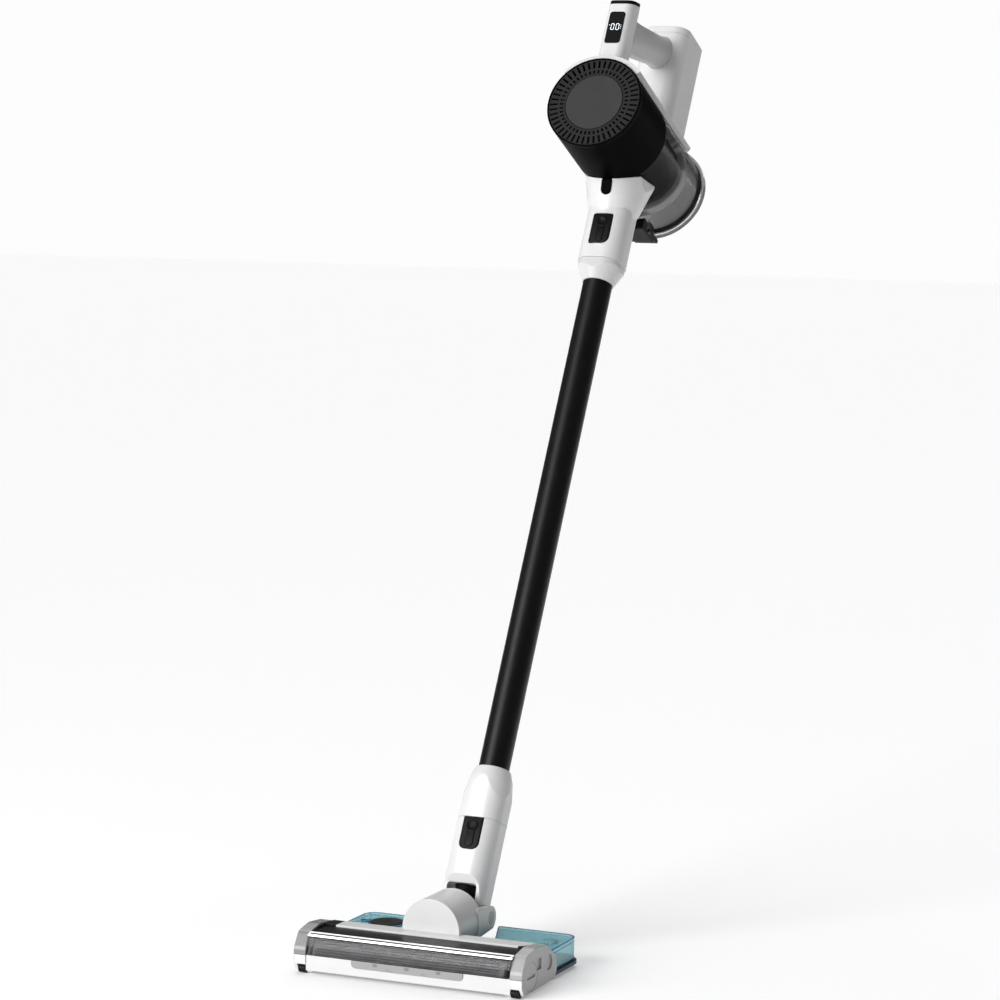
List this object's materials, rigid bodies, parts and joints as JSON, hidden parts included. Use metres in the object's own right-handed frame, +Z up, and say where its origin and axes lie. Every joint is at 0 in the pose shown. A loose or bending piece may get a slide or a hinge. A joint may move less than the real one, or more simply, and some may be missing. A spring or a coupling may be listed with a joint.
{
  "type": "cordless stick vacuum",
  "caption": "Cordless stick vacuum with a leaning wand, a clear dust cup and a roller head that carries a clip-on water tank with a mop pad.",
  "frame": {"origin": "on the floor, at the centre of the flat underside of the mop pad", "axes": "+X across the head to its release side, +Y to the back, away from the roller, +Z up; the wand leans back in the YZ plane"},
  "size_m": [0.266, 0.7668, 1.0424],
  "materials": {
    "white_shell": "satin gloss white",
    "pale_grey_plastic": "fine satin",
    "dark_grey_plastic": "satin gloss",
    "black_plastic": "satin gloss black",
    "black_tube": "satin black anodised",
    "chrome_trim": "polished",
    "smoked_clear": "clear, slightly smoked",
    "tank_teal": "clear teal",
    "tank_base": "satin",
    "mop_fabric": "microfibre",
    "brown_rubber": "matte",
    "black_rubber": "matte",
    "soft_nap": "soft pile",
    "inner_grey_plastic": "moulded",
    "steel": "machined",
    "motor_steel": "satin",
    "filter_paper": "pleated paper",
    "display_black": "polished",
    "button_grey": "matte",
    "led_white": "diffuse lens",
    "cell_wrap": "shrink wrap"
  },
  "bodies": {
    "floor_head": {"chassis": "white_shell", "top_cover": "dark_grey_plastic", "rear_panel": "white_shell", "trim_strip": "chrome_trim", "roller_window": "smoked_clear", "left_end_cap": "dark_grey_plastic", "lip_insert": "pale_grey_plastic", "led_strip": "led_white", "brush_motor": "motor_steel", "drive_belt": "black_rubber", "swivel_base": "white_shell"},
    "end_cap": {"right_end_cap": "pale_grey_plastic"},
    "cap_knob": {"cap_knob": "pale_grey_plastic"},
    "brush": {"brush_core": "inner_grey_plastic", "brush_sleeve": "soft_nap", "brush_pulley": "black_plastic", "brush_bearings": "steel"},
    "motor_shaft": {"motor_pulley": "steel"},
    "wheel_left": {"front_wheel_left": "black_rubber"},
    "wheel_right": {"front_wheel_right": "black_rubber"},
    "tank": {"water_tank": "tank_teal", "tank_plate": "tank_base", "mop_pad": "mop_fabric", "drain_plug": "black_rubber"},
    "filler_cap": {"filler_cap": "brown_rubber"},
    "flow_knob": {"flow_knob": "tank_teal"},
    "barrel": {"swivel_barrel": "white_shell", "pivot_pins": "pale_grey_plastic"},
    "neck": {"neck_shell": "white_shell", "hose": "black_rubber"},
    "neck_button": {"neck_button": "black_plastic"},
    "wand": {"wand_lower_collar": "white_shell", "wand_tube": "black_tube", "wand_upper_collar": "white_shell"},
    "unit": {"unit_socket": "white_shell", "main_housing": "white_shell", "motor_housing": "black_plastic", "fan_motor": "motor_steel", "hepa_filter": "filter_paper", "display_column": "white_shell", "display_lens": "display_black", "top_cap": "black_plastic", "grip": "pale_grey_plastic", "battery_housing": "white_shell"},
    "impeller": {"impeller": "inner_grey_plastic"},
    "vent_cover": {"filter_cover": "dark_grey_plastic", "cover_disc": "black_plastic"},
    "unit_button": {"unit_button": "black_plastic"},
    "cup_button": {"cup_button": "black_plastic"},
    "power_button": {"power_button": "button_grey"},
    "mode_button": {"mode_button": "button_grey"},
    "battery": {"battery_pack": "white_shell", "battery_cells": "cell_wrap"},
    "battery_release": {"battery_release": "pale_grey_plastic"},
    "cup": {"dust_cup": "smoked_clear", "cyclone_mesh": "inner_grey_plastic", "lid_pin": "steel"},
    "lid": {"cup_lid": "smoked_clear", "lid_seal": "black_rubber"},
    "lid_latch": {"lid_latch": "black_plastic"}
  },
  "joints": [
    {"name": "end_cap_off", "type": "slide", "parent": "floor_head", "child": "end_cap", "axis": [1, 0, 0], "range_m": [0, 0.03]},
    {"name": "cap_knob_turn", "type": "hinge", "parent": "end_cap", "child": "cap_knob", "pos_m": [0.131, -0.103, 0.0195], "axis": [1, 0, 0], "range_deg": [0, 60]},
    {"name": "brush_spin", "type": "hinge", "parent": "floor_head", "child": "brush", "pos_m": [0, -0.103, 0.0195], "axis": [1, 0, 0], "continuous": true},
    {"name": "motor_spin", "type": "hinge", "parent": "floor_head", "child": "motor_shaft", "pos_m": [-0.12, -0.065, 0.024], "axis": [1, 0, 0], "continuous": true},
    {"name": "wheel_left_roll", "type": "hinge", "parent": "floor_head", "child": "wheel_left", "pos_m": [-0.1235, -0.121, 0.0046], "axis": [1, 0, 0], "continuous": true},
    {"name": "wheel_right_roll", "type": "hinge", "parent": "floor_head", "child": "wheel_right", "pos_m": [0.1235, -0.121, 0.0046], "axis": [1, 0, 0], "continuous": true},
    {"name": "tank_off", "type": "slide", "parent": "floor_head", "child": "tank", "axis": [0, 1, 0], "range_m": [0, 0.08]},
    {"name": "filler_cap_lift", "type": "slide", "parent": "tank", "child": "filler_cap", "axis": [0, 0, 1], "range_m": [0, 0.015]},
    {"name": "flow_knob_turn", "type": "hinge", "parent": "tank", "child": "flow_knob", "pos_m": [0.1115, -0.005, 0.034], "axis": [0, 0, 1], "range_deg": [0, 90]},
    {"name": "swivel", "type": "hinge", "parent": "floor_head", "child": "barrel", "pos_m": [0, -0.04, 0.0475], "axis": [0, 1, 0], "range_deg": [-60, 60]},
    {"name": "pitch", "type": "hinge", "parent": "barrel", "child": "neck", "pos_m": [0, 0.014, 0.0465], "axis": [1, 0, 0], "range_deg": [-55, 28.5]},
    {"name": "neck_button_press", "type": "slide", "parent": "neck", "child": "neck_button", "axis": [0, 0.8788, -0.4772], "range_m": [0, 0.0022], "stiffness_N_per_m": 400},
    {"name": "wand_off", "type": "slide", "parent": "neck", "child": "wand", "axis": [0, 0.4772, 0.8788], "range_m": [0, 0.05]},
    {"name": "unit_off", "type": "slide", "parent": "wand", "child": "unit", "axis": [0, 0.4772, 0.8788], "range_m": [0, 0.05]},
    {"name": "unit_button_press", "type": "slide", "parent": "unit", "child": "unit_button", "axis": [0, 0.8788, -0.4772], "range_m": [0, 0.0025], "stiffness_N_per_m": 400},
    {"name": "cup_button_press", "type": "slide", "parent": "unit", "child": "cup_button", "axis": [0, 0.9763, -0.2164], "range_m": [0, 0.0022], "stiffness_N_per_m": 400},
    {"name": "power_press", "type": "slide", "parent": "unit", "child": "power_button", "axis": [0, -0.1822, -0.9833], "range_m": [0, 0.0012], "stiffness_N_per_m": 400},
    {"name": "mode_press", "type": "slide", "parent": "unit", "child": "mode_button", "axis": [0, -0.1822, -0.9833], "range_m": [0, 0.0012], "stiffness_N_per_m": 400},
    {"name": "impeller_spin", "type": "hinge", "parent": "unit", "child": "impeller", "pos_m": [0, 0.42898, 0.88625], "axis": [0, -0.8788, 0.4772], "continuous": true},
    {"name": "vent_cover_twist", "type": "hinge", "parent": "unit", "child": "vent_cover", "pos_m": [0, 0.36219, 0.92251], "axis": [0, -0.8788, 0.4772], "range_deg": [0, 30]},
    {"name": "battery_off", "type": "slide", "parent": "unit", "child": "battery", "axis": [0, 0.4772, 0.8788], "range_m": [0, 0.08]},
    {"name": "battery_release_press", "type": "slide", "parent": "unit", "child": "battery_release", "axis": [0, -0.8788, 0.4772], "range_m": [0, 0.001], "stiffness_N_per_m": 400},
    {"name": "cup_off", "type": "slide", "parent": "unit", "child": "cup", "axis": [0, 0.8788, -0.4772], "range_m": [0, 0.06]},
    {"name": "lid_open", "type": "hinge", "parent": "cup", "child": "lid", "pos_m": [0, 0.58715, 0.87263], "axis": [1, 0, 0], "range_deg": [0, 80]},
    {"name": "lid_latch_tip", "type": "hinge", "parent": "cup", "child": "lid_latch", "pos_m": [0, 0.4972, 0.77297], "axis": [1, 0, 0], "range_deg": [-8, 0], "stiffness_Nm_per_rad": 0.3}
  ],
  "couplings": [
    {"joint": "motor_spin", "follows": "brush_spin", "ratio": 1.8}
  ]
}
